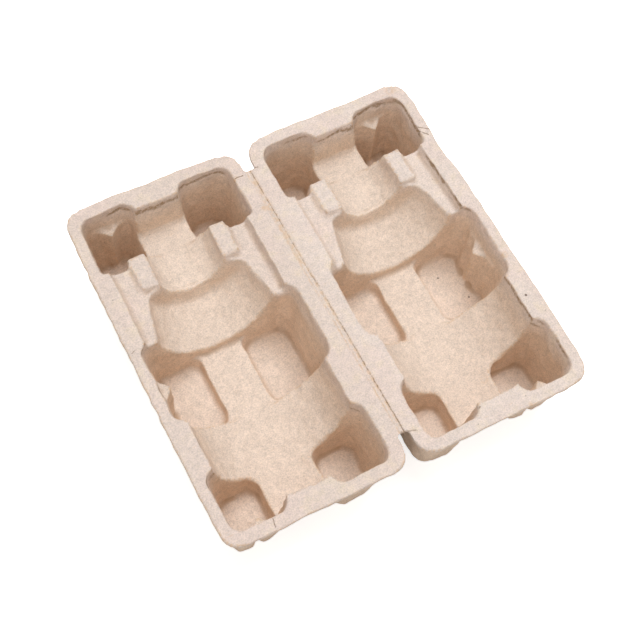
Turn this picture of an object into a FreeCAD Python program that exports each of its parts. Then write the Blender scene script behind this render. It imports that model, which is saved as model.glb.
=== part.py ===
import FreeCAD, Part
import os
import Sketcher

# Moulded pulp shipper insert: two trays, joined along one long side by a fold.
# Frame: X across the pack with the fold axis at X = 0, Y along it with +Y at the cap end,
# Z up with the undersides of the feet at Z = 0. Lengths in millimetres, angles in degrees.
# The lid tray lies at +X and is laid out in full. The base tray is its mirror image at -X.
# A tray is one pulp wall: an outer form, less a cavity form that lies one wall inside it.

os.makedirs("parts", exist_ok=True)
doc = FreeCAD.newDocument("PulpShipperInsert")
V = FreeCAD.Vector

SIZES = [
    ("half_width", 94.5, "fold axis to the outer edge of the rim"),
    ("half_length", 92, "middle of the tray to the end edge of the rim"),
    ("rim_corner", 9, "corner radius of the rim"),
    ("rim_thick", 2.5, "thickness of the rim"),
    ("wall", 2, "thickness of the moulded wall"),
    ("overlap", 6, "how far a seat runs into the pocket next to it"),
    ("side_rim", 6.1, "width of the rim along the outer side"),
    ("fold_rim", 9.6, "fold axis to the edge of the cavity"),
    ("end_rim", 6, "width of the rim at both ends"),
    ("notch", 3, "fold axis to the tray's edge in the notches at the fold's ends"),
    ("fold_length", 154, "length of the fold between its notches"),
    ("fold_thick", 1.6, "thickness of the pressed strip at the fold"),
    ("fold_gap", 0.3, "gap between the two halves of the fold"),
    ("foot_depth", 43, "rim down to the floor of the four corner wells"),
    ("well_draft", 5, "draft of the deep wells"),
    ("well_corner", 6, "corner radius of the deep wells"),
    ("pocket_draft", 10, "draft of the shallow pockets"),
    ("pocket_corner", 4, "corner radius of the shallow pockets"),
    ("corner_share", 0.4, "most that a round corner may take of its floor's shorter side"),
    ("cap_well_front", 58.5, "front wall of the cap end wells beside the posts"),
    ("cap_well_reach", 54, "front wall of the cap end wells beside the rim"),
    ("cap_ledge_width", 23, "width of the ledge between the cap end wells"),
    ("cap_ledge_reach", 5.5, "how far that ledge stands in from the end rim"),
    ("plateau_depth", 19.5, "rim down to the plateau behind the neck seat"),
    ("neck_radius", 16.5, "radius of the neck seat"),
    ("post_drop", 2.5, "rim down to the top of the posts and the axis of the neck seat"),
    ("post_width", 8.5, "width of each post beside the neck seat"),
    ("neck_front", 39.5, "front edge of the neck seat"),
    ("post_lean", 1, "how far the front faces of the posts lean back"),
    ("shelf_depth", 5, "rim down to the shelves beside the collar seat"),
    ("shelf_half", 36, "middle of the tray to the outer edge of the shelves"),
    ("collar_radius_back", 25, "radius of the collar seat at its back"),
    ("collar_radius_front", 31.5, "radius of the collar seat at its front"),
    ("collar_step", 3.5, "length of the sloping step from neck seat to collar seat"),
    ("mid_back", 14, "back wall of the middle wells"),
    ("mid_front", 29.3, "front wall of the middle wells, towards the base end"),
    ("mid_depth", 41, "rim down to the floor of the middle wells"),
    ("bar_width", 22.6, "width of the raised bar between the middle wells"),
    ("bar_depth", 35, "rim down to the top of the bar"),
    ("seat_radius", 34.5, "radius of the body seat"),
    ("seat_end_slope", 2, "how far the end of the body seat leans"),
    ("base_well_back", 54.5, "back wall of the base end wells"),
    ("base_ledge_width", 22.8, "width of the ledge between the base end wells"),
    ("base_ledge_reach", 5.5, "how far that ledge stands in from the end rim"),
    ("lug_radius", 5, "reach of the stacking lugs at their tops"),
    ("lug_drop", 13, "rim down to the top of the lugs"),
    ("lug_draft", 1, "draft of the lugs"),
    ("lug_from_middle", 25, "middle of the tray across to the lugs on the end walls"),
    ("side_lug_y", 6.5, "how far the side lug lies towards the base end"),
]

sheet = doc.addObject("Spreadsheet::Sheet", "Sizes")
for row, (alias, value, note) in enumerate(SIZES, start=1):
    sheet.set(f"A{row}", note)
    sheet.set(f"B{row}", str(value))
    sheet.setAlias(f"B{row}", alias)
doc.recompute()

# Places that several features share, as expressions of the sheet's cells
RIM_TOP = "(Sizes.foot_depth + Sizes.wall)"
NEAR = "Sizes.fold_rim"
FAR = "(Sizes.half_width - Sizes.side_rim)"
MIDDLE = f"(({NEAR} + {FAR}) / 2)"
END = "(Sizes.half_length - Sizes.end_rim)"


def sized(expression):
    """The number that an expression of the sheet's cells comes to."""
    return float(sheet.evalExpression(expression))


def bind(item, **places):
    """Tie properties to the sheet; x, y and z are the item's place."""
    for name, expression in places.items():
        target = f".Placement.Base.{name}" if name in ("x", "y", "z") else name
        item.setExpression(target, str(expression))


def rounded_outline(name, width, length, corner):
    """A rounded rectangle about its own origin."""
    sketch = doc.addObject("Sketcher::SketchObject", name)
    half_x, half_y, radius = (sized(f"({e}) / 2") for e in (width, length, f"2 * ({corner})"))
    in_x, in_y = half_x - radius, half_y - radius
    lines = [
        ((-in_x, -half_y), (in_x, -half_y)),
        ((half_x, -in_y), (half_x, in_y)),
        ((in_x, half_y), (-in_x, half_y)),
        ((-half_x, in_y), (-half_x, -in_y)),
    ]
    for start, end in lines:
        sketch.addGeometry(Part.LineSegment(V(*start, 0), V(*end, 0)))
    turn = FreeCAD.Units.Quantity("90 deg").getValueAs("rad").Value
    for index, (cx, cy) in enumerate([(in_x, -in_y), (in_x, in_y), (-in_x, in_y), (-in_x, -in_y)]):
        circle = Part.Circle(V(cx, cy, 0), V(0, 0, 1), radius)
        sketch.addGeometry(Part.ArcOfCircle(circle, (index - 1) * turn, index * turn))
    for index in range(4):
        arc = 4 + index
        sketch.addConstraint(Sketcher.Constraint("Tangent", index, 2, arc, 1))
        sketch.addConstraint(Sketcher.Constraint("Tangent", arc, 2, (index + 1) % 4, 1))
        direction = "Horizontal" if index % 2 == 0 else "Vertical"
        sketch.addConstraint(Sketcher.Constraint(direction, index))
    for arc in (5, 6, 7):
        sketch.addConstraint(Sketcher.Constraint("Equal", 4, arc))
    driving = [
        (("DistanceX", -1, 1, 1, 1), half_x, f"({width}) / 2"),
        (("DistanceX", 3, 1, -1, 1), half_x, f"({width}) / 2"),
        (("DistanceY", -1, 1, 2, 1), half_y, f"({length}) / 2"),
        (("DistanceY", 0, 1, -1, 1), half_y, f"({length}) / 2"),
        (("Radius", 4), radius, corner),
    ]
    for constraint, value, expression in driving:
        index = sketch.addConstraint(Sketcher.Constraint(*constraint, value))
        sketch.setExpression(f"Constraints[{index}]", expression)
    return sketch


def drafted(name, profile, depth, draft):
    """A profile carried down by depth, narrowing by its draft."""
    block = doc.addObject("Part::Extrusion", name)
    block.Base = profile
    block.DirMode = "Custom"
    block.Dir = V(0, 0, -1)
    block.Solid = True
    bind(block, LengthFwd=depth, TaperAngle=draft)
    return block


def rounded_corners(name, block, corner):
    """The block with its four steep edges rounded, by no more than its floor has room for."""
    doc.recompute([block])
    floor = min(block.Shape.Faces, key=lambda face: face.CenterOfMass.z)
    room = min(edge.Length for edge in floor.Edges) * sized("Sizes.corner_share")
    radius = min(sized(corner), room)
    steep = [index for index, edge in enumerate(block.Shape.Edges, start=1)
             if abs(edge.tangentAt(edge.FirstParameter).z) > sized("sin(45 deg)")]
    rounded = doc.addObject("Part::Fillet", name)
    rounded.Base = block
    rounded.Edges = [(index, radius, radius) for index in steep]
    return rounded


def pocket(name, x_low, x_high, y_low, y_high, depth, draft, corner):
    """A drafted pocket below the rim with round corners: its cavity form and its outer form."""
    forms = []
    for kind, grow in (("cavity", "0"), ("outer", "Sizes.wall")):
        fall = f"({depth} + {grow})"
        half_x = f"((({x_high}) - ({x_low})) / 2 + {grow})"
        half_y = f"((({y_high}) - ({y_low})) / 2 + {grow})"
        lean = f"{fall} * tan({draft} * 1 deg)"
        block = doc.addObject("Part::Wedge", f"{name}_{kind}_block")
        block.Placement = FreeCAD.Placement(V(0, 0, 0), FreeCAD.Rotation(V(1, 0, 0), 90))
        bind(block, Ymin=f"-{fall}", Ymax="0",
             Xmin=f"{lean} - {half_x}", Xmax=f"{half_x} - {lean}",
             Zmin=f"{lean} - {half_y}", Zmax=f"{half_y} - {lean}",
             X2min=f"-{half_x}", X2max=half_x, Z2min=f"-{half_y}", Z2max=half_y)
        bind(block, x=f"(({x_low}) + ({x_high})) / 2", y=f"(({y_low}) + ({y_high})) / 2", z=RIM_TOP)
        forms.append(rounded_corners(f"{name}_{kind}", block, f"{corner} + {grow}"))
    return forms


def half_round(name, radius_low, radius_high, y_low, y_high, drop):
    """The lower half of a cylinder or cone that lies along Y: cavity and outer form."""
    forms = []
    for kind, grow in (("cavity", "0"), ("outer", "Sizes.wall")):
        if radius_low == radius_high:
            item = doc.addObject("Part::Cylinder", f"{name}_{kind}")
            bind(item, Radius=f"{radius_low} + {grow}")
        else:
            item = doc.addObject("Part::Cone", f"{name}_{kind}")
            bind(item, Radius1=f"{radius_low} + {grow}", Radius2=f"{radius_high} + {grow}")
        item.Angle = 180
        item.Placement = FreeCAD.Placement(V(0, 0, 0), FreeCAD.Rotation(V(1, 0, 0), -90))
        bind(item, Height=f"({y_high}) - ({y_low}) + 2 * {grow}")
        bind(item, x=MIDDLE, y=f"({y_low}) - {grow}", z=f"{RIM_TOP} - {drop}")
        forms.append(item)
    return forms


def lug(name, x_place, y_place, floor_depth):
    """A tapered lug on a well's wall, hollow on the outside: the lug and its hollow."""
    forms = []
    for kind, shrink in (("form", "0"), ("hollow", "Sizes.wall")):
        diamond = doc.addObject("Part::RegularPolygon", f"{name}_{kind}_outline")
        diamond.Polygon = 4
        bind(diamond, Circumradius=f"Sizes.lug_radius - {shrink}")
        bind(diamond, x=x_place, y=y_place, z=f"{RIM_TOP} - Sizes.lug_drop - {shrink}")
        depth = f"{floor_depth} + Sizes.wall - Sizes.lug_drop"
        forms.append(drafted(f"{name}_{kind}", diamond, depth, "Sizes.lug_draft"))
    return forms


def joined(kind, name, shapes):
    """A union of several forms."""
    union = doc.addObject(kind, name)
    union.Shapes = shapes
    return union


def less(name, base, tool):
    """One form less another."""
    cut = doc.addObject("Part::Cut", name)
    cut.Base = base
    cut.Tool = tool
    return cut


# Deep wells: at each depth the wall between two wells is as wide as the sheet says there,
# so its width at the rim is found from the draft
LEAN = "tan(Sizes.well_draft * 1 deg)"
BAR_HALF = f"(Sizes.bar_width / 2 - Sizes.bar_depth * {LEAN})"
DEEP = ("Sizes.foot_depth", "Sizes.well_draft", "Sizes.well_corner")
MID = ("Sizes.mid_depth", "Sizes.well_draft", "Sizes.well_corner")
pairs = []
POST_OUTSIDE = "(Sizes.neck_radius + Sizes.post_width)"
sides = {
    "fold": lambda inner: (NEAR, f"{MIDDLE} - {inner}"),
    "outer": lambda inner: (f"{MIDDLE} + {inner}", FAR),
}
for side, span in sides.items():
    pairs.append(pocket(f"cap_well_{side}", *span("Sizes.cap_ledge_width / 2"),
                        "Sizes.cap_well_front", END, *DEEP))
    pairs.append(pocket(f"cap_well_reach_{side}", *span(POST_OUTSIDE),
                        "Sizes.cap_well_reach", f"{END} - 2 * Sizes.well_corner", *DEEP))
    pairs.append(pocket(f"mid_well_{side}", *span(BAR_HALF),
                        "-Sizes.mid_front", "Sizes.mid_back", *MID))
    pairs.append(pocket(f"base_well_{side}", *span("Sizes.base_ledge_width / 2"),
                        f"-{END}", "-Sizes.base_well_back", *DEEP))

# The top of the bar between the middle wells
SHALLOW = ("Sizes.pocket_draft", "Sizes.pocket_corner")
pairs.append(pocket("bar_top", f"{MIDDLE} - Sizes.bar_width", f"{MIDDLE} + Sizes.bar_width",
                    "-Sizes.mid_front", "Sizes.mid_back",
                    "Sizes.bar_depth", "Sizes.well_draft", "Sizes.pocket_corner"))

# The plateau between the cap end wells, the neck seat and the two posts beside it
pairs.append(pocket("plateau", f"{MIDDLE} - Sizes.cap_ledge_width / 2 - Sizes.overlap",
                    f"{MIDDLE} + Sizes.cap_ledge_width / 2 + Sizes.overlap",
                    "Sizes.cap_well_front", f"{END} - Sizes.cap_ledge_reach",
                    "Sizes.plateau_depth", *SHALLOW))
pairs.append(half_round("neck_seat", "Sizes.neck_radius", "Sizes.neck_radius",
                        "Sizes.neck_front", f"Sizes.cap_well_front + Sizes.overlap",
                        "Sizes.post_drop"))
pairs.append(pocket("post_top", f"{MIDDLE} - {POST_OUTSIDE} - Sizes.wall",
                    f"{MIDDLE} + {POST_OUTSIDE} + Sizes.wall",
                    "Sizes.neck_front", "Sizes.cap_well_front + Sizes.wall",
                    "Sizes.post_drop", *SHALLOW))

# The shelves beside the collar seat
pairs.append(pocket("shelf_front", f"{MIDDLE} - Sizes.shelf_half", f"{MIDDLE} + Sizes.shelf_half",
                    "Sizes.mid_back - Sizes.wall", "Sizes.neck_front + Sizes.post_lean",
                    "Sizes.shelf_depth", *SHALLOW))
for side, sign in (("fold", "-"), ("outer", "+")):
    ends = [f"{MIDDLE} {sign} {POST_OUTSIDE}", f"{MIDDLE} {sign} Sizes.shelf_half"]
    if side == "fold":
        ends.reverse()
    pairs.append(pocket(f"shelf_{side}", *ends,
                        "Sizes.mid_back - Sizes.wall", "Sizes.cap_well_reach + Sizes.wall",
                        "Sizes.shelf_depth", *SHALLOW))

# The collar seat with the step down from the neck seat, and the body seat
COLLAR_BACK = "(Sizes.neck_front - Sizes.collar_step)"
pairs.append(half_round("collar_seat", "Sizes.collar_radius_front", "Sizes.collar_radius_back",
                        f"Sizes.mid_back - Sizes.overlap", COLLAR_BACK, "0"))
pairs.append(half_round("collar_step", "Sizes.collar_radius_back", "Sizes.neck_radius",
                        COLLAR_BACK, "Sizes.neck_front", "0"))
SEAT_END = f"(Sizes.base_ledge_reach - {END})"
pairs.append(half_round("body_seat", "Sizes.seat_radius", "Sizes.seat_radius",
                        f"{SEAT_END} + Sizes.seat_end_slope", f"Sizes.overlap - Sizes.mid_front", "0"))
pairs.append(half_round("body_seat_end", "0.1", "Sizes.seat_radius",
                        SEAT_END, f"{SEAT_END} + Sizes.seat_end_slope", "0"))

lugs = [
    lug("cap_lug", f"{MIDDLE} + Sizes.lug_from_middle", END, "Sizes.foot_depth"),
    lug("base_lug", f"{MIDDLE} + Sizes.lug_from_middle", f"-{END}", "Sizes.foot_depth"),
    lug("side_lug", FAR, "-Sizes.side_lug_y", "Sizes.mid_depth"),
]

# Rim and the tray's half of the fold
rim_outline = rounded_outline("rim_outline", "Sizes.half_width - Sizes.notch",
                              "2 * Sizes.half_length", "Sizes.rim_corner")
bind(rim_outline, x="(Sizes.half_width + Sizes.notch) / 2", y="0", z=RIM_TOP)
rim = drafted("rim", rim_outline, "Sizes.rim_thick", "0")
fold_strip = doc.addObject("Part::Box", "fold_strip")
bind(fold_strip, Length="Sizes.fold_rim - Sizes.fold_gap / 2 - Sizes.wall",
     Width="Sizes.fold_length", Height="Sizes.fold_thick")
bind(fold_strip, x="Sizes.fold_gap / 2", y="-Sizes.fold_length / 2",
     z=f"{RIM_TOP} - Sizes.fold_thick")

cavity = less("cavity", joined("Part::MultiFuse", "pockets", [cut for cut, _ in pairs]),
              joined("Part::MultiFuse", "lugs", [form for form, _ in lugs]))
outer_form = less("outer_form",
                  joined("Part::MultiFuse", "outside", [rim, fold_strip] + [grown for _, grown in pairs]),
                  joined("Part::MultiFuse", "lug_hollows", [hollow for _, hollow in lugs]))

lid = less("lid_tray", outer_form, cavity)
base = doc.addObject("Part::Mirroring", "base_tray")
base.Source = lid
base.Normal = V(1, 0, 0)
doc.recompute()

for item in doc.Objects:
    if "Invalid" in item.State or "Error" in item.State:
        raise RuntimeError(f"{item.Name} failed: {item.State}")

for node in (base, lid):
    node.Label = node.Name
    shape = node.Shape
    if shape.isNull() or not shape.isValid():
        raise RuntimeError(f"{node.Name} has no sound shape")
    box = shape.BoundBox
    print(node.Label, "solids", len(shape.Solids), "volume", round(shape.Volume / 1000, 1), "cm3",
          "box", [round(v, 2) for v in (box.XMin, box.YMin, box.ZMin, box.XMax, box.YMax, box.ZMax)])
    shape.exportStep(f"parts/{node.Label}.step")
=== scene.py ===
import math

import bmesh
import bpy
import numpy as np
from mathutils import Matrix, Vector, noise


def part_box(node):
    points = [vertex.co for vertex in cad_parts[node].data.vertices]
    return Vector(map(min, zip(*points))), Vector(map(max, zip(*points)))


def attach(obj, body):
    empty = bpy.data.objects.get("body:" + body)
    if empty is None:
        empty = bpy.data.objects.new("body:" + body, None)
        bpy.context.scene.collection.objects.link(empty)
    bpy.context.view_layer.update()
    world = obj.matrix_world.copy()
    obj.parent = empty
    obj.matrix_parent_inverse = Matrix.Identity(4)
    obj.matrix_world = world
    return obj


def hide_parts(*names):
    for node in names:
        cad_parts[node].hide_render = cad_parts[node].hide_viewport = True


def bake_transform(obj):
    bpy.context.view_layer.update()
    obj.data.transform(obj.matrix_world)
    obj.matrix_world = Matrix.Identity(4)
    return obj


# Moulded pulp shipper insert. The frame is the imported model's: the fold runs along Y at X = 0,
# the base tray lies at -X and the lid tray at +X, and the feet stand on Z = 0. Blender's
# lengths are metres. Shapes and marks are given here in millimetres.

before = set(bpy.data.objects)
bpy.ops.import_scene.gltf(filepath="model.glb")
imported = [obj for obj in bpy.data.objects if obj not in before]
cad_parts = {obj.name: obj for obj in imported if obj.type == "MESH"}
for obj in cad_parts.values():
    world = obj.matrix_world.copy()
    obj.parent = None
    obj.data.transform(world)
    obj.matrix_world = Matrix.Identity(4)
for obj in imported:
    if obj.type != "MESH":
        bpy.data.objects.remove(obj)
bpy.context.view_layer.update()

MM = 0.001
lid_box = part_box("lid_tray")
RIM_TOP = lid_box[1].z / MM
OUTER_EDGE = lid_box[1].x / MM
END_EDGE = lid_box[1].y / MM


# Camera, fitted to the straight rim lines of the photograph
CAMERA_PLACE = Vector((-0.15275, -0.21435, 0.5513))
CAMERA_FORWARD = Vector((0.2577177, 0.3598687, -0.8967029))
CAMERA_ROLL = math.radians(-8.726)
PHOTO_WIDTH = 640
FOCAL_SHARE = 1208.66 / PHOTO_WIDTH
SENSOR = 36.0
CLIP_START = 0.01


def add_camera():
    data = bpy.data.cameras.new("camera")
    data.sensor_width = SENSOR
    data.lens = FOCAL_SHARE * SENSOR
    data.clip_start = CLIP_START
    camera = bpy.data.objects.new("camera", data)
    forward = CAMERA_FORWARD.normalized()
    level_right = forward.cross(Vector((0, 0, 1))).normalized()
    right = Matrix.Rotation(CAMERA_ROLL, 3, forward) @ level_right
    up = right.cross(forward)
    turn = Matrix((right, up, -forward)).transposed()
    camera.matrix_world = Matrix.Translation(CAMERA_PLACE) @ turn.to_4x4()
    bpy.context.scene.collection.objects.link(camera)
    bpy.context.scene.camera = camera


# The pulp: one skin grown from the two CAD trays and a bridge across their fold

VOXEL = 1.0
BRIDGE_HALF_WIDTH = 2.0
FOLD_THICK = 1.6
FOLD_HALF_LENGTH = 77.0
SOFTENING_STEPS = 2
PRESS_IN = 0.55
PRESS_OUT = -0.45

# The fold between its two creases, where the skin has smaller faces
CREASE_LID = 0.5
CREASE_BASE = -1.7
FINE_HALF_WIDTH = 4.0
FINE_CUTS = 1

# The creases' grooves, which fade below the rims' top and at the fold's ends
GROOVE_DEPTH = 0.45
GROOVE_HALF_WIDTH = 0.45
GROOVE_DROP = (1.0, 0.3)
GROOVE_END_FADE = 1.0

# Where the moulding is out of true: middle, reach and move, all in the plane of the rims
WARPS = [
    ((94.5, 0), (30, 70), (0.5, 0.0)),
    ((94.5, -60), (30, 30), (0.3, 0.0)),
    ((92, 92), (14, 14), (0.3, 1.3)),
    ((50, 92), (40, 10), (0.0, 0.5)),
    ((94.5, 48), (14, 11), (-1.3, 0.0)),
    ((-14, 92), (16, 12), (0.0, -0.9)),
    ((-94.5, 84), (14, 20), (0.6, 0.0)),
    ((-94.5, -84), (14, 20), (0.6, 0.0)),
    ((94.5, -92), (9, 9), (-0.9, 0.6)),
]

# The pulp's unevenness: each noise's size, and how far it moves the skin
WAVE_SIZE = 22.0
WAVE = 0.5
NIBBLE_SIZE = 6.0
NIBBLE = 0.45
DIMPLE_SIZE = 5.5
DIMPLE = 0.30
LUMP_SIZE = 2.4
LUMP = 0.24
GRAIN_SIZE = 1.3
GRAIN = 0.10
RIM_SAG = 0.30
RIM_SAG_LIFT = 0.5

# The rims are smoother than the rest, and the fold stays straight
SMOOTH_RIM_SHARE = 0.45
SMOOTH_RIM_DROP = (0.5, 4.0)
STRAIGHT_FOLD = (1.0, 8.0)
TOP_SPARE = 0.05

# Where the noises are read, and how far each is shifted along X so that no two are alike. The
# seed fixes the vector noise, which is drawn from the clock otherwise
NOISE_SEED = 5
NOISE_PLACE = Vector((13.7, 5.1, 8.3))
GRAIN_SHIFT = 2.0
TEAR_WANDER_SHIFT = 3.0
TEAR_RAGGED_SHIFT = 5.0
TEAR_GATE_SHIFT = 7.0
DIMPLE_SHIFT = 9.0
SAG_SHIFT = 11.0

# Places where the wells' corners and mouths are drawn out: place, move and reach
CORNERS = [
    ((67.8, -58.2, 8), (-1.1, 1.1), 4.0),
    ((36.4, -59.0, 12), (1.1, 1.1), 4.0),
    ((61.5, 9.7, 10), (-1.0, 1.0), 4.0),
    ((60.5, -27.1, 10), (-1.0, -1.0), 4.0),
    ((36.5, 8.5, 10), (1.0, 1.0), 4.0),
    ((15.5, 12.8, 38), (0.0, -2.2), 5.0),
    ((36.5, -27.0, 10), (1.0, -1.0), 4.0),
]

# Lumps of pulp on the feet, just under the rims at the base end
LUMP_PLACES = [
    (16, -87.5, 35), (24, -87.5, 35), (57, -87.5, 35), (71, -87.5, 35),
    (-86, -87.5, 35), (-72, -87.0, 35), (-38, -87.5, 35), (-27, -87.5, 35),
]
LUMP_MOVE = (0.0, -2.3)
LUMP_REACH = 5.2

# The lugs in the wells are widened round their axes, up to their tops
LUGS = [(73.9, 86.0), (73.9, -86.0), (88.2, -6.5)]
LUG_TOP = (32.3, 33.3)
LUG_REACH = 6.5
LUG_FADE = 13.0
LUG_GROWTH = 0.42

# The torn step under the rims' inner edges: how far below them, at the ends and at the sides
TEAR_DROP_END = 3.6
TEAR_DROP_SIDE = 1.6
TEAR_HALF_HEIGHT = 0.9
TEAR_DEPTH = 0.6
TEAR_BAND = 15.0
TEAR_FACING = (0.45, 0.8)

# How the tear wanders up and down, how ragged it is, and where it is there at all
TEAR_WANDER_SIZE = 9.0
TEAR_WANDER = 2.0
TEAR_WANDER_SIDE_SHARE = 0.5
TEAR_RAGGED_SIZE = 2.0
TEAR_RAGGED = 1.0
TEAR_GATE_SIZE = 16.0
TEAR_GATE = (-0.35, 0.1)

# A painted shadow under the rims on the outside of the ends, over the lumps, drawn as a ragged band
# like the torn step
RIM_SHADOW_DROP = 5.0
RIM_SHADOW_HALF_HEIGHT = 1.2
RIM_SHADOW_WANDER_SHARE = 1.5
RIM_SHADOW_FACING = (0.1, 0.6)
RIM_SHADOW_SHARE = 0.6


def grown_skin():
    """Both trays and the bridge as one closed voxel skin."""
    shape = bmesh.new()
    for node in ("base_tray", "lid_tray"):
        shape.from_mesh(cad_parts[node].data)
    corners = [(x * MM, y * MM, z * MM)
               for x in (-BRIDGE_HALF_WIDTH, BRIDGE_HALF_WIDTH)
               for y in (-FOLD_HALF_LENGTH, FOLD_HALF_LENGTH)
               for z in (RIM_TOP - FOLD_THICK, RIM_TOP)]
    bridge = [shape.verts.new(corner) for corner in corners]
    bmesh.ops.convex_hull(shape, input=bridge)
    mesh = bpy.data.meshes.new("pulp")
    shape.to_mesh(mesh)
    shape.free()
    skin = bpy.data.objects.new("pulp", mesh)
    bpy.context.scene.collection.objects.link(skin)
    remesh = skin.modifiers.new("voxels", "REMESH")
    remesh.mode = "VOXEL"
    remesh.voxel_size = VOXEL * MM
    evaluated = skin.evaluated_get(bpy.context.evaluated_depsgraph_get())
    grown = bpy.data.meshes.new_from_object(evaluated)
    skin.modifiers.clear()
    skin.data = grown
    return skin


def refine_fold(mesh):
    """Smaller faces beside the fold, so that its creases and its bend are smooth."""
    shape = bmesh.new()
    shape.from_mesh(mesh)
    near = [edge for edge in shape.edges
            if all(abs(vert.co.x) < FINE_HALF_WIDTH * MM for vert in edge.verts)]
    bmesh.ops.subdivide_edges(shape, edges=near, cuts=FINE_CUTS, use_grid_fill=True)
    bmesh.ops.triangulate(shape, faces=[face for face in shape.faces if len(face.verts) > 4])
    shape.to_mesh(mesh)
    shape.free()


def read_points(mesh):
    points = np.empty(len(mesh.vertices) * 3, np.float32)
    mesh.vertices.foreach_get("co", points)
    return points.reshape(-1, 3).astype(float) / MM


def write_points(mesh, points):
    mesh.vertices.foreach_set("co", (points * MM).astype(np.float32).ravel())
    mesh.update()


def read_edges(mesh):
    edges = np.empty(len(mesh.edges) * 2, np.int32)
    mesh.edges.foreach_get("vertices", edges)
    return edges.reshape(-1, 2)


def read_normals(mesh):
    normals = np.empty(len(mesh.vertices) * 3, np.float32)
    mesh.vertices.foreach_get("normal", normals)
    return normals.reshape(-1, 3).astype(float)


def neighbours_mean(values, edges):
    count = np.bincount(edges.ravel(), minlength=len(values))[:, None]
    total = np.zeros_like(values)
    np.add.at(total, edges[:, 0], values[edges[:, 1]])
    np.add.at(total, edges[:, 1], values[edges[:, 0]])
    return total / count


def softened(points, edges, steps):
    """Each step moves every point towards the middle of its neighbours, then a little less back."""
    for _ in range(steps):
        for share in (PRESS_IN, PRESS_OUT):
            points = points + share * (neighbours_mean(points, edges) - points)
    return points


def smoothstep(values, low, high):
    share = np.clip((values - low) / (high - low), 0, 1)
    return share * share * (3 - 2 * share)


def hill(values, middle, half_width):
    return np.exp(-((values - middle) / half_width) ** 2)


def noise_at(points, size, shift=0.0):
    place = NOISE_PLACE + Vector((shift, 0, 0))
    return np.array([noise.noise(Vector(point) / size + place) for point in points])


def noise_vectors(points, size):
    return np.array([noise.noise_vector(Vector(point) / size + NOISE_PLACE) for point in points])


def mirrored(places):
    """The same moves for both trays."""
    for (x, y, z), (move_x, move_y), reach in places:
        for side in (1, -1):
            yield (side * x, y, z), (side * move_x, move_y), reach


def widened(points, x, y):
    """How far the points round a lug's axis move away from it."""
    offset = points[:, :2] - np.array((x, y))
    radius = np.linalg.norm(offset, axis=1)
    near = 1 - smoothstep(radius, LUG_REACH, LUG_FADE)
    below_top = 1 - smoothstep(points[:, 2], *LUG_TOP)
    growth = LUG_GROWTH * (near * below_top) * LUG_REACH / np.maximum(radius, LUG_REACH)
    return offset * growth[:, None]


def warped(points):
    moved = points.copy()
    for side in (1, -1):
        for x, y in LUGS:
            moved[:, :2] += widened(points, side * x, y)
    lumps = [(place, LUMP_MOVE, LUMP_REACH) for place in LUMP_PLACES]
    for place, move, reach in (*mirrored(CORNERS), *lumps):
        offset = (points - np.array(place)) / reach
        share = np.exp(-(offset ** 2).sum(1))
        moved[:, 0] += share * move[0]
        moved[:, 1] += share * move[1]
    for (x, y), (reach_x, reach_y), move in WARPS:
        share = hill(points[:, 0], x, reach_x) * hill(points[:, 1], y, reach_y)
        moved[:, 0] += share * move[0]
        moved[:, 1] += share * move[1]
    return moved


def torn_share(points, normals):
    """How far each point lies on the torn step inside the rims, and on the painted shadow band
    under the rims outside the ends.
    """
    across = np.abs(points[:, 0])
    along = np.abs(points[:, 1])
    side_in = -normals[:, 0] * np.sign(points[:, 0]) * (across > OUTER_EDGE - TEAR_BAND)
    end_in = -normals[:, 1] * np.sign(points[:, 1]) * (along > END_EDGE - TEAR_BAND)
    drop = RIM_TOP - points[:, 2]
    wander = noise_at(points, TEAR_WANDER_SIZE, TEAR_WANDER_SHIFT) * TEAR_WANDER
    ragged = noise_at(points, TEAR_RAGGED_SIZE, TEAR_RAGGED_SHIFT) * TEAR_RAGGED
    gate = smoothstep(noise_at(points, TEAR_GATE_SIZE, TEAR_GATE_SHIFT), *TEAR_GATE)
    side_middle = TEAR_DROP_SIDE + TEAR_WANDER_SIDE_SHARE * wander + ragged
    at_side = hill(drop, side_middle, TEAR_HALF_HEIGHT) * smoothstep(side_in, *TEAR_FACING)
    end_middle = TEAR_DROP_END + wander + ragged
    at_end = hill(drop, end_middle, TEAR_HALF_HEIGHT) * smoothstep(end_in, *TEAR_FACING)
    # Painted shadow band under the rims, on the outside of the ends
    end_out = normals[:, 1] * np.sign(points[:, 1])
    out_middle = RIM_SHADOW_DROP + RIM_SHADOW_WANDER_SHARE * wander + ragged
    outside = hill(drop, out_middle, RIM_SHADOW_HALF_HEIGHT) * smoothstep(end_out, *RIM_SHADOW_FACING)
    return np.maximum(at_side, at_end) * gate, RIM_SHADOW_SHARE * outside * gate


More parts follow.
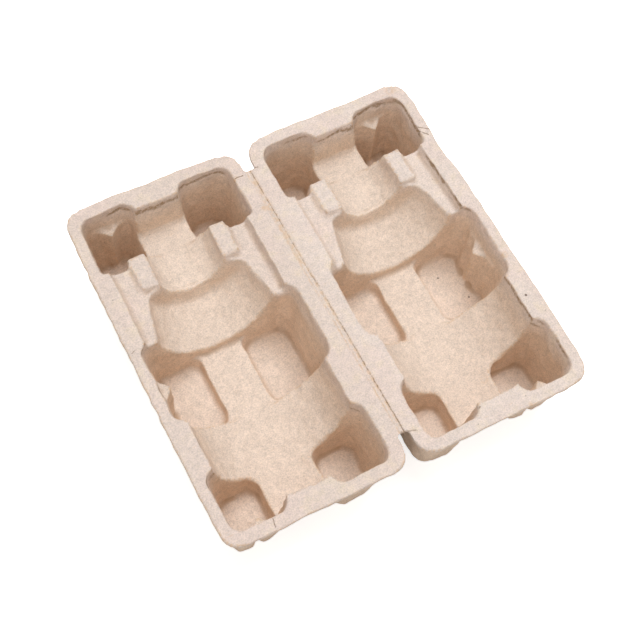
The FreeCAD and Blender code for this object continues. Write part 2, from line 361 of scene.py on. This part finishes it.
def shape_pulp(skin):
    """The skin with all its forms, and the attributes that its material reads."""
    mesh = skin.data
    refine_fold(mesh)
    edges = read_edges(mesh)
    points = softened(read_points(mesh), edges, SOFTENING_STEPS)
    write_points(mesh, points)
    normals = read_normals(mesh)

    torn, rim_shadow_band = torn_share(points, normals)
    level = normals.copy()
    level[:, 2] = 0
    moved = points - level * (torn * TEAR_DEPTH)[:, None]

    on_top = smoothstep(points[:, 2], *(RIM_TOP - drop for drop in GROOVE_DROP))
    grooves = sum(hill(points[:, 0], middle, GROOVE_HALF_WIDTH)
                  for middle in (CREASE_LID, CREASE_BASE))
    before_end = FOLD_HALF_LENGTH - np.abs(points[:, 1])
    fold_reach = smoothstep(before_end, -GROOVE_END_FADE, GROOVE_END_FADE)
    moved[:, 2] -= on_top * grooves * fold_reach * GROOVE_DEPTH

    moved = warped(moved)
    height = np.clip(points[:, 2] / RIM_TOP, 0, 1)
    waves = noise_vectors(points, WAVE_SIZE) * WAVE * height[:, None]
    waves[:, 2] = 0
    nibbles = noise_vectors(points, NIBBLE_SIZE) * NIBBLE
    nibbles[:, 2] = 0
    away_from_fold = smoothstep(np.abs(points[:, 0]), *STRAIGHT_FOLD)[:, None]
    moved += (waves + nibbles) * away_from_fold
    sag = noise_at(points, WAVE_SIZE, SAG_SHIFT) + RIM_SAG_LIFT
    sag = sag * RIM_SAG * height * away_from_fold[:, 0]
    moved[:, 2] -= np.clip(sag, 0, None)
    lumps = noise_at(points, LUMP_SIZE) * LUMP
    lumps += noise_at(points, GRAIN_SIZE, GRAIN_SHIFT) * GRAIN
    lumps += noise_at(points, DIMPLE_SIZE, DIMPLE_SHIFT) * DIMPLE
    below_rim = smoothstep(RIM_TOP - points[:, 2], *SMOOTH_RIM_DROP)
    lumps *= SMOOTH_RIM_SHARE + (1 - SMOOTH_RIM_SHARE) * below_rim
    moved += normals * lumps[:, None]
    moved[:, 2] = np.clip(moved[:, 2], 0, RIM_TOP + TOP_SPARE)
    write_points(mesh, moved)

    bend = ((points - neighbours_mean(points, edges)) * normals).sum(1)[:, None]
    bend = neighbours_mean(bend, edges)
    store(mesh, "bend", bend[:, 0] / VOXEL)
    # The torn attribute holds the torn step and the painted shadow band under the rims
    store(mesh, "torn", np.maximum(torn, rim_shadow_band))
    store(mesh, "steep", 1 - np.abs(normals[:, 2]))
    place = mesh.attributes.new("place", "FLOAT_VECTOR", "POINT")
    place.data.foreach_set("vector", moved.astype(np.float32).ravel())


def store(mesh, name, values):
    layer = mesh.attributes.new(name, "FLOAT", "POINT")
    layer.data.foreach_set("value", values.astype(np.float32))


def split_at_creases(skin):
    """The skin in three pieces: the two trays and the fold between its creases."""
    sides = {
        "base_shell": lambda x: x <= CREASE_BASE,
        "fold_crease": lambda x: (x > CREASE_BASE) & (x < CREASE_LID),
        "lid_shell": lambda x: x >= CREASE_LID,
    }
    centres = np.empty(len(skin.data.polygons) * 3, np.float32)
    skin.data.polygons.foreach_get("center", centres)
    centre_x = centres.reshape(-1, 3)[:, 0] / MM
    pieces = {}
    for name, inside in sides.items():
        keep = inside(centre_x)
        shape = bmesh.new()
        shape.from_mesh(skin.data)
        shape.faces.ensure_lookup_table()
        gone = [shape.faces[i] for i in np.nonzero(~keep)[0]]
        bmesh.ops.delete(shape, geom=gone, context="FACES")
        mesh = bpy.data.meshes.new(name)
        shape.to_mesh(mesh)
        shape.free()
        mesh.polygons.foreach_set("use_smooth", [True] * len(mesh.polygons))
        piece = bpy.data.objects.new(name, mesh)
        bpy.context.scene.collection.objects.link(piece)
        pieces[name] = piece
    bpy.data.objects.remove(skin)
    return pieces


# Material

LID_PULP = (0.805, 0.690, 0.622)
BASE_PULP = (0.760, 0.640, 0.567)
ROSY = (0.800, 0.650, 0.585)
STRAW = (0.770, 0.650, 0.500)
# Painted shade: the pulp turns browner deeper in the wells
DEEP_SHADE = (0.800, 0.665, 0.560)
# Painted shade: browner still on the steep walls inside the wells
WALL_SHADE = (0.780, 0.600, 0.460)
STAIN = (0.700, 0.470, 0.270)
# Painted shade in the hollows, partly a brown stain
CREASE_SHADE_BROWN = (0.520, 0.350, 0.220)
# Brown of the torn step, and painted shadow under the rims outside the ends
TEAR_AND_RIM_SHADOW_BROWN = (0.400, 0.265, 0.160)
CRACK = (0.300, 0.190, 0.120)
SPECK = (0.170, 0.110, 0.080)
FIBRE = (0.860, 0.760, 0.680)

# Sizes of the pulp's noises
PATCH_SIZE = 26.0
CLOUD_SIZE = 7.0
MOTTLE_SIZE = 2.6
FLECK_SIZE = 1.3
WARM_GRAIN_SIZE = 1.1
FINE_GRAIN_SIZE = 0.75
PALE_STRANDS = (math.radians(24), 7.0, 0.45)
BROWN_STRANDS = (math.radians(-52), 6.0, 0.40)
STRAND_DISTORTION = 0.6

# Where each colour shows: the level where it starts, the level where it is full, its strength
# at the first and its strength at the second
TRAY_CHANGE = (-12, 12)
ROSY_SHOWS = (0.42, 0.66, 0, 0.55)
STRAW_SHOWS = (0.50, 0.75, 0, 0.50)
WARM_GRAIN_SHOWS = (0.52, 0.68, 0, 0.30)
PALE_STRANDS_SHOW = (0.66, 0.76, 0, 0.30)
BROWN_STRANDS_SHOW = (0.68, 0.78, 0, 0.30)
# Painted shade: browner pulp from just below the rims down into the wells
DEEP_SHADE_SHOWS = (RIM_TOP - 1, RIM_TOP - 16, 0, 1.0)
# Painted shade on steep walls, growing with the depth below the rims
WALL_SHADE_SHOWS = (0.35, 0.85, 0, 0.75)

# How much lighter or darker the noises make the pulp, and how much more so inside the wells
MOTTLE_LIGHT = (0.25, 0.75, -0.06, 0.06)
GRAIN_LIGHT = (0.25, 0.75, -0.14, 0.14)
CLOUD_LIGHT = (0.3, 0.7, -0.03, 0.03)
COARSE_INSIDE = (RIM_TOP - 1, RIM_TOP - 9, 1.0, 1.2)

# Painted shade, partly a brown stain, in the hollows; brown on rubbed convex edges; brown on torn
# places, with painted shadow under the rims outside the ends; each broken up by a noise
CREASE_SHADE_SHOWS = (-0.03, -0.13, 0, 0.75)
CREASE_SHADE_BROKEN = (0.25, 0.55, 0.35, 1.0)
RUB_SHOWS = (0.03, 0.10, 0, 0.55)
RUB_BROKEN = (0.40, 0.64)
# Shows the torn step and the painted shadow band under the rims
TEAR_AND_RIM_SHADOW_SHOWS = (0.08, 0.65)
TEAR_AND_RIM_SHADOW_BROKEN = (0.25, 0.6, 0.15, 0.85)

# Marks waver a little. Their edges are shares of their radius or half width, then the strength
WAVER_SCALE = 0.6
WAVER = 0.9
STAIN_EDGES = (1.0, 0.2, 0.6)
FOLD_LINE_EDGES = (1.8, 0.2, 0.65)
CRACK_EDGES = (1.9, 0.5, 0.8)
DOT_EDGES = (1.0, 0.6, 0.9)
STAIN_BROKEN = (0.35, 0.62)
CRACK_BROKEN = (0.2, 0.5, 0.6, 1.0)

# Dark specks: one cell in a few has one
SPECK_SPACING = 5.5
SPECK_SHOWS = (0.065, 0.035, 0, 0.55)
SPECK_CHOSEN = (0.62, 0.66)

SPECULAR = 0.2
ROUGHNESS = (0.3, 0.7, 0.82, 0.98)
GRAIN_RELIEF = 0.10
MOTTLE_RELIEF = 0.14
STRAND_RELIEF = 0.10
CRACK_RELIEF = 0.25
BUMP_STRENGTH = 0.9

# Sockets of a colour mix node
MIX_SHARE, MIX_FIRST, MIX_SECOND, MIX_COLOUR = 0, 6, 7, 2

# Marks on the pulp. Dots: place and radius. Lines: two ends and half the width.
DOTS = [
    ((87.8, -42.5, 45), 0.80),
    ((79.8, -16.6, 4), 0.60),
    ((8.5, -16.5, 45), 0.35),
    ((70.9, -0.1, 4), 0.60),
]
CRACKS = [
    ((0.1, 77, 45), (0.9, -77, 45), 0.27),
    ((88.6, 63.9, 45), (94.0, 60.2, 45), 0.25),
    ((88.0, 61.8, 44.6), (91.5, 57.6, 45), 0.22),
    ((-9.8, 76.0, 45), (-4.7, 75.6, 45), 0.22),
    ((1.0, 77.6, 45), (4.4, 77.0, 45), 0.22),
    ((-0.5, -76.6, 45), (6.5, -79.0, 45), 0.25),
    ((-94.4, 11.2, 45), (-89.5, 12.4, 45), 0.18),
    ((-70.0, -86.5, 45), (-70.6, -90.5, 45), 0.18),
    ((35.5, -82.8, 44.5), (38.2, -82.0, 45), 0.35),
]
# Brownish lines along the fold's creases
FOLD_LINES = [
    ((-2.1, 76.5, 45), (-1.3, -77, 45), 0.40),
    ((-0.1, 76.5, 45), (0.7, -77, 45), 0.70),
    ((-1.4, 70, 45), (-0.9, 20, 45), 0.90),
]
STAINS = [
    ((59.8, -61.8, 12.2), 3.0),
    ((87.1, 90.1, 45), 4.0),
    ((84.0, 84.0, 42), 4.0),
    ((-3.0, 55.0, 45), 3.0),
    ((-9.0, 75.0, 45), 3.0),
    ((65.5, 46.7, 42.4), 1.0),
    ((60.3, -92.0, 44), 3.0),
    ((90.1, -19.4, 45), 3.0),
]


def make(tree, kind, inputs=(), **settings):
    """A new node. Inputs pair a socket with its value or source, settings are its properties."""
    node = tree.nodes.new(kind)
    for name, value in settings.items():
        setattr(node, name, value)
    for socket, value in inputs:
        if isinstance(value, bpy.types.NodeSocket):
            tree.links.new(value, node.inputs[socket])
        else:
            node.inputs[socket].default_value = value
    return node


def maths(tree, operation, first, second=0.0):
    node = make(tree, "ShaderNodeMath", [(0, first), (1, second)], operation=operation)
    return node.outputs[0]


def ranged(tree, value, low, high, to_low=0.0, to_high=1.0):
    node = make(tree, "ShaderNodeMapRange",
                [("Value", value), ("From Min", low), ("From Max", high),
                 ("To Min", to_low), ("To Max", to_high)],
                interpolation_type="SMOOTHSTEP")
    return node.outputs["Result"]


def opaque(colour):
    return (*colour, 1) if isinstance(colour, tuple) else colour


def mixed(tree, share, first, second):
    node = make(tree, "ShaderNodeMix",
                [(MIX_SHARE, share), (MIX_FIRST, opaque(first)), (MIX_SECOND, opaque(second))],
                data_type="RGBA")
    return node.outputs[MIX_COLOUR]


def vector_maths(tree, operation, first, second):
    return make(tree, "ShaderNodeVectorMath", [(0, first), (1, second)], operation=operation)


def scaled(tree, vector, share):
    node = make(tree, "ShaderNodeVectorMath", [(0, vector), ("Scale", share)], operation="SCALE")
    return node.outputs[0]


def mottle(tree, place, size, detail=2.0, roughness=0.5):
    node = make(tree, "ShaderNodeTexNoise",
                [("Vector", place), ("Scale", 1.0 / size),
                 ("Detail", detail), ("Roughness", roughness)])
    return node.outputs["Fac"]


def strands(tree, place, turn, length, width):
    """Noise drawn out into short fibres that lie at an angle to X."""
    lie = make(tree, "ShaderNodeMapping",
               [("Vector", place), ("Rotation", (0.0, 0.0, turn)),
                ("Scale", (1 / length, 1 / width, 1 / width))])
    node = make(tree, "ShaderNodeTexNoise",
                [("Vector", lie.outputs[0]), ("Scale", 1.0),
                 ("Detail", 1.0), ("Distortion", STRAND_DISTORTION)])
    return node.outputs["Fac"]


def distance(tree, place, point):
    return vector_maths(tree, "DISTANCE", place, point).outputs["Value"]


def dot(tree, first, second):
    return vector_maths(tree, "DOT_PRODUCT", first, second).outputs["Value"]


def line_distance(tree, place, start, end):
    """How far a place is from the line between two points."""
    run = Vector(end) - Vector(start)
    offset = vector_maths(tree, "SUBTRACT", place, start).outputs[0]
    share = maths(tree, "DIVIDE", dot(tree, offset, run), run.length_squared)
    share = make(tree, "ShaderNodeClamp", [("Value", share)]).outputs[0]
    return distance(tree, offset, scaled(tree, tuple(run), share))


def most(tree, values):
    total = values[0]
    for value in values[1:]:
        total = maths(tree, "MAXIMUM", total, value)
    return total


def product(tree, first, second):
    return maths(tree, "MULTIPLY", first, second)


def dots_at(tree, place, marks, edges):
    """Round marks, each full inside its inner edge and gone outside its outer edge."""
    outer, inner, strength = edges
    return most(tree, [ranged(tree, distance(tree, place, point),
                              outer * radius, inner * radius, 0, strength)
                       for point, radius in marks])


def lines_at(tree, place, marks, edges):
    outer, inner, strength = edges
    return most(tree, [ranged(tree, line_distance(tree, place, start, end),
                              outer * half_width, inner * half_width, 0, strength)
                       for start, end, half_width in marks])


def attribute(tree, name, output="Fac"):
    return make(tree, "ShaderNodeAttribute", attribute_name=name).outputs[output]


def pulp_material():
    material = bpy.data.materials.new("moulded_pulp")
    material.use_nodes = True
    tree = material.node_tree
    shader = tree.nodes["Principled BSDF"]
    shader.inputs["Specular IOR Level"].default_value = SPECULAR

    place = attribute(tree, "place", "Vector")
    bend = attribute(tree, "bend")
    torn = attribute(tree, "torn")
    steep = attribute(tree, "steep")
    parts = make(tree, "ShaderNodeSeparateXYZ", [(0, place)])
    across = parts.outputs["X"]
    height = parts.outputs["Z"]

    patches = mottle(tree, place, PATCH_SIZE)
    clouds = mottle(tree, place, CLOUD_SIZE, detail=3.0)
    mottles = mottle(tree, place, MOTTLE_SIZE, detail=3.0)
    grain = mottle(tree, place, FINE_GRAIN_SIZE, roughness=0.7)
    flecks = mottle(tree, place, FLECK_SIZE, detail=1.0)
    warm_grain = mottle(tree, place, WARM_GRAIN_SIZE, roughness=0.6)
    pale_strands = ranged(tree, strands(tree, place, *PALE_STRANDS), *PALE_STRANDS_SHOW)
    brown_strands = ranged(tree, strands(tree, place, *BROWN_STRANDS), *BROWN_STRANDS_SHOW)

    colour = mixed(tree, ranged(tree, across, *TRAY_CHANGE), BASE_PULP, LID_PULP)
    colour = mixed(tree, ranged(tree, patches, *ROSY_SHOWS), colour, ROSY)
    colour = mixed(tree, ranged(tree, clouds, *STRAW_SHOWS), colour, STRAW)
    # Painted shade: browner pulp deeper in the wells
    deep_shade = ranged(tree, height, *DEEP_SHADE_SHOWS)
    colour = mixed(tree, deep_shade, colour, DEEP_SHADE)
    # Painted shade: the steep walls in the wells browner still
    wall_shade = product(tree, ranged(tree, steep, *WALL_SHADE_SHOWS), deep_shade)
    colour = mixed(tree, wall_shade, colour, WALL_SHADE)

    light = maths(tree, "ADD", ranged(tree, mottles, *MOTTLE_LIGHT),
                  ranged(tree, grain, *GRAIN_LIGHT))
    light = maths(tree, "ADD", light, ranged(tree, clouds, *CLOUD_LIGHT))
    light = product(tree, light, ranged(tree, height, *COARSE_INSIDE))
    colour = scaled(tree, colour, maths(tree, "ADD", light, 1.0))
    colour = mixed(tree, ranged(tree, warm_grain, *WARM_GRAIN_SHOWS), colour, STRAW)
    colour = mixed(tree, pale_strands, colour, FIBRE)
    colour = mixed(tree, brown_strands, colour, STAIN)

    # Painted shade, partly a brown stain: the hollows, where the skin bends inward, turn brown
    crease_shade = product(tree, ranged(tree, bend, *CREASE_SHADE_SHOWS),
                      ranged(tree, clouds, *CREASE_SHADE_BROKEN))
    colour = mixed(tree, crease_shade, colour, CREASE_SHADE_BROWN)
    rubbed = product(tree, ranged(tree, bend, *RUB_SHOWS), ranged(tree, flecks, *RUB_BROKEN))
    colour = mixed(tree, rubbed, colour, STAIN)
    # Brown on the torn step, and painted shadow under the rims outside the ends
    ragged = product(tree, ranged(tree, torn, *TEAR_AND_RIM_SHADOW_SHOWS), ranged(tree, flecks, *TEAR_AND_RIM_SHADOW_BROKEN))
    colour = mixed(tree, ragged, colour, TEAR_AND_RIM_SHADOW_BROWN)

    shifted = make(tree, "ShaderNodeTexNoise",
                   [("Vector", place), ("Scale", WAVER_SCALE), ("Detail", 2.0)])
    wander = vector_maths(tree, "SUBTRACT", shifted.outputs["Color"], (0.5, 0.5, 0.5))
    wander = scaled(tree, wander.outputs[0], WAVER)
    wavering = vector_maths(tree, "ADD", place, wander).outputs[0]

    stained = most(tree, [dots_at(tree, wavering, STAINS, STAIN_EDGES),
                          lines_at(tree, wavering, FOLD_LINES, FOLD_LINE_EDGES)])
    stained = product(tree, stained, ranged(tree, mottles, *STAIN_BROKEN))
    colour = mixed(tree, stained, colour, STAIN)

    cracked = lines_at(tree, wavering, CRACKS, CRACK_EDGES)
    cracked = product(tree, cracked, ranged(tree, flecks, *CRACK_BROKEN))
    colour = mixed(tree, cracked, colour, CRACK)

    cells = make(tree, "ShaderNodeTexVoronoi", [("Vector", place), ("Scale", 1 / SPECK_SPACING)])
    cell_colour = make(tree, "ShaderNodeSeparateColor", [(0, cells.outputs["Color"])])
    chosen = ranged(tree, cell_colour.outputs[0], *SPECK_CHOSEN)
    specks = product(tree, ranged(tree, cells.outputs["Distance"], *SPECK_SHOWS), chosen)
    dots = dots_at(tree, place, DOTS, DOT_EDGES)
    colour = mixed(tree, most(tree, [specks, dots]), colour, SPECK)
    tree.links.new(colour, shader.inputs["Base Color"])
    tree.links.new(ranged(tree, mottles, *ROUGHNESS), shader.inputs["Roughness"])

    relief = maths(tree, "ADD", product(tree, grain, GRAIN_RELIEF),
                   product(tree, mottles, MOTTLE_RELIEF))
    relief = maths(tree, "ADD", relief, product(tree, pale_strands, STRAND_RELIEF))
    relief = maths(tree, "SUBTRACT", relief, product(tree, cracked, CRACK_RELIEF))
    bump = make(tree, "ShaderNodeBump",
                [("Height", relief), ("Distance", MM), ("Strength", BUMP_STRENGTH)])
    tree.links.new(bump.outputs[0], shader.inputs["Normal"])
    return material


# Floor and light

FLOOR_Z = -0.0005
FLOOR_SIZE = 6.0
FLOOR_COLOUR = (0.8, 0.8, 0.8)
FLOOR_GLOW = 0.68
SKY = 0.38
SKY_TINT = (1.0, 0.905, 0.80)

# Name, azimuth, elevation and spread in degrees, strength, colour
LAMPS = [
    ("overhead softbox", 52, 73, 38, 1.74, (0.955, 1.0, 1.055)),
    ("back softbox", 85, 45, 50, 0.25, (0.955, 1.0, 1.055)),
    ("front softbox", 240, 35, 60, 0.50, (1.0, 1.0, 1.0)),
]


def add_floor():
    bpy.ops.mesh.primitive_plane_add(size=FLOOR_SIZE, location=(0, 0, FLOOR_Z))
    floor = bpy.context.object
    floor.name = "floor"
    material = bpy.data.materials.new("pale_floor")
    material.use_nodes = True
    tree = material.node_tree
    shader = tree.nodes["Principled BSDF"]
    shader.inputs["Base Color"].default_value = opaque(FLOOR_COLOUR)
    shader.inputs["Roughness"].default_value = 1.0
    shader.inputs["Specular IOR Level"].default_value = 0.0
    seen = make(tree, "ShaderNodeLightPath").outputs["Is Camera Ray"]
    level = make(tree, "ShaderNodeMapRange", [("Value", seen), ("To Max", FLOOR_GLOW)])
    glow = make(tree, "ShaderNodeEmission", [("Strength", level.outputs["Result"])])
    total = make(tree, "ShaderNodeAddShader", [(0, shader.outputs[0]), (1, glow.outputs[0])])
    tree.links.new(total.outputs[0], tree.nodes["Material Output"].inputs["Surface"])
    floor.data.materials.append(material)


def add_light():
    world = bpy.data.worlds.new("studio")
    world.use_nodes = True
    bpy.context.scene.world = world
    tree = world.node_tree
    background = tree.nodes["Background"]
    seen = make(tree, "ShaderNodeLightPath").outputs["Is Camera Ray"]
    level = make(tree, "ShaderNodeMapRange", [("Value", seen), ("To Min", SKY), ("To Max", 1.0)])
    tree.links.new(level.outputs["Result"], background.inputs["Strength"])
    tree.links.new(mixed(tree, seen, SKY_TINT, (1, 1, 1)), background.inputs["Color"])

    for name, azimuth, elevation, spread, energy, tint in LAMPS:
        lamp = bpy.data.lights.new(name, "SUN")
        lamp.energy = energy
        lamp.color = tint
        lamp.angle = math.radians(spread)
        softbox = bpy.data.objects.new(name, lamp)
        softbox.rotation_mode = "QUATERNION"
        rise, turn = math.radians(elevation), math.radians(azimuth)
        direction = Vector((math.cos(rise) * math.cos(turn),
                            math.cos(rise) * math.sin(turn),
                            math.sin(rise)))
        softbox.rotation_quaternion = direction.to_track_quat("Z", "Y")
        bpy.context.scene.collection.objects.link(softbox)


noise.seed_set(NOISE_SEED)
add_camera()
skin = grown_skin()
shape_pulp(skin)
pieces = split_at_creases(skin)
pulp = pulp_material()
for piece in pieces.values():
    piece.data.materials.clear()
    piece.data.materials.append(pulp)
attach(pieces["base_shell"], "base")
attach(pieces["lid_shell"], "lid")
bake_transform(pieces["fold_crease"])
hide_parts("base_tray")
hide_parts("lid_tray")
add_floor()
add_light()

view = bpy.context.scene.view_settings
view.view_transform = "Standard"
print("triangles", {name: sum(len(p.vertices) - 2 for p in piece.data.polygons)
                    for name, piece in pieces.items()})
